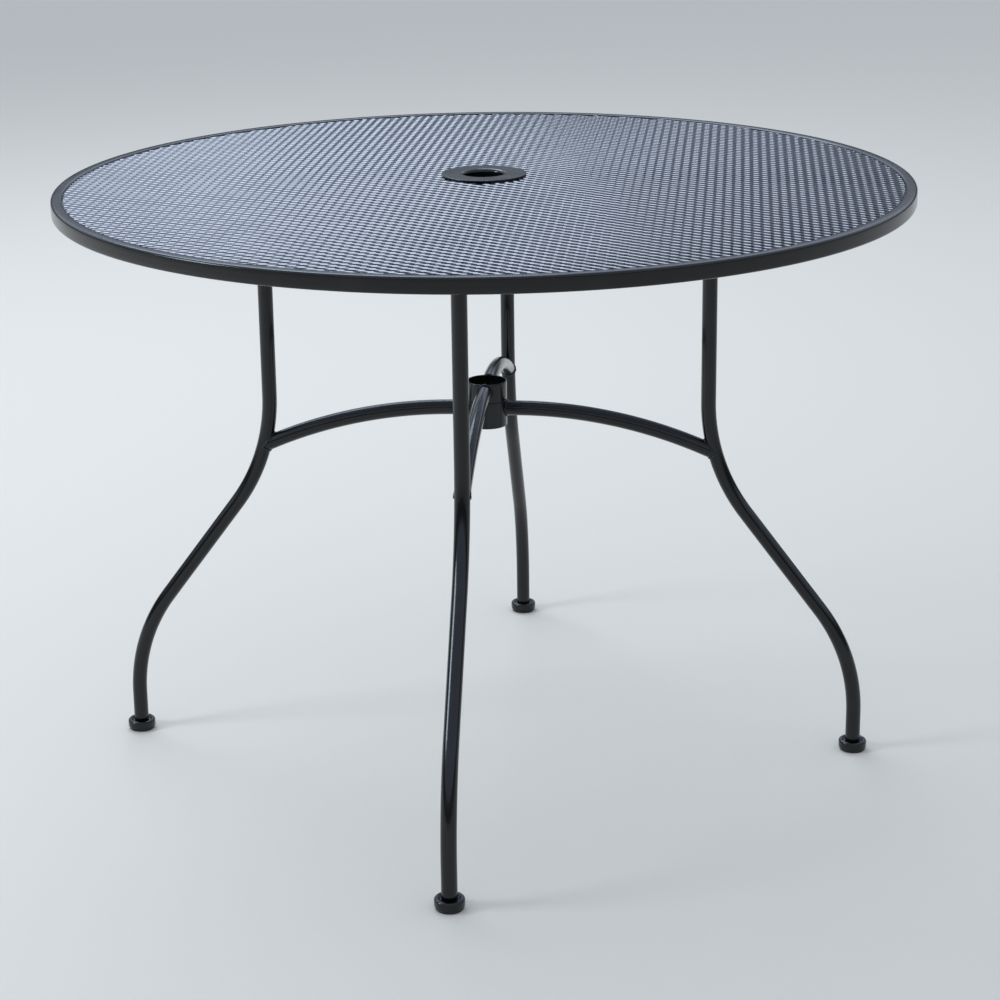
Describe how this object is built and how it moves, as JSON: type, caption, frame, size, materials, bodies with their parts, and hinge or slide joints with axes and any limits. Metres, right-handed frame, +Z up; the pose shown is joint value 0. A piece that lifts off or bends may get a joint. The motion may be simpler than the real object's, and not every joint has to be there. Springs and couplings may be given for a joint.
{
  "type": "garden table",
  "caption": "Round steel garden table with an expanded mesh top in a tube rim, a parasol pole hole, bent tube legs tied by arched braces at pole collars, and round glide feet.",
  "frame": {"origin": "on the floor, at the middle of the table's footprint, straight under the pole hole", "axes": "+Z is up along the pole hole; the side legs stand on the X axis and their braces meet at the lower collar; the front leg stands on -Y and the back leg on +Y, with their braces at the upper collar"},
  "size_m": [1.06, 1.06, 0.7595],
  "materials": {
    "black_powder_coat": "satin black powder coat",
    "mesh_powder_coat": "satin black powder coat on expanded steel mesh",
    "glide_plastic": "black plastic glide",
    "zinc_steel": "zinc plated"
  },
  "bodies": {
    "root": {"rim_ring": "black_powder_coat", "mesh_panel": "mesh_powder_coat", "pole_plate": "black_powder_coat", "hub_ring": "black_powder_coat", "rail_front": "black_powder_coat", "rail_back": "black_powder_coat", "rail_left": "black_powder_coat", "rail_right": "black_powder_coat", "leg_front": "black_powder_coat", "leg_back": "black_powder_coat", "leg_left": "black_powder_coat", "leg_right": "black_powder_coat", "brace_front": "black_powder_coat", "brace_back": "black_powder_coat", "brace_left": "black_powder_coat", "brace_right": "black_powder_coat", "upper_collar": "black_powder_coat", "lower_collar": "black_powder_coat", "leg_plate_front": "black_powder_coat", "leg_plate_back": "black_powder_coat", "leg_plate_left": "black_powder_coat", "leg_plate_right": "black_powder_coat", "leg_bolts": "zinc_steel", "leg_washers": "zinc_steel", "leg_nuts": "zinc_steel", "collar_welds": "black_powder_coat", "foot_welds": "black_powder_coat", "foot_front": "black_powder_coat", "foot_back": "black_powder_coat", "foot_left": "black_powder_coat", "foot_right": "black_powder_coat", "pad_front": "glide_plastic", "pad_back": "glide_plastic", "pad_left": "glide_plastic", "pad_right": "glide_plastic"}
  },
  "joints": []
}
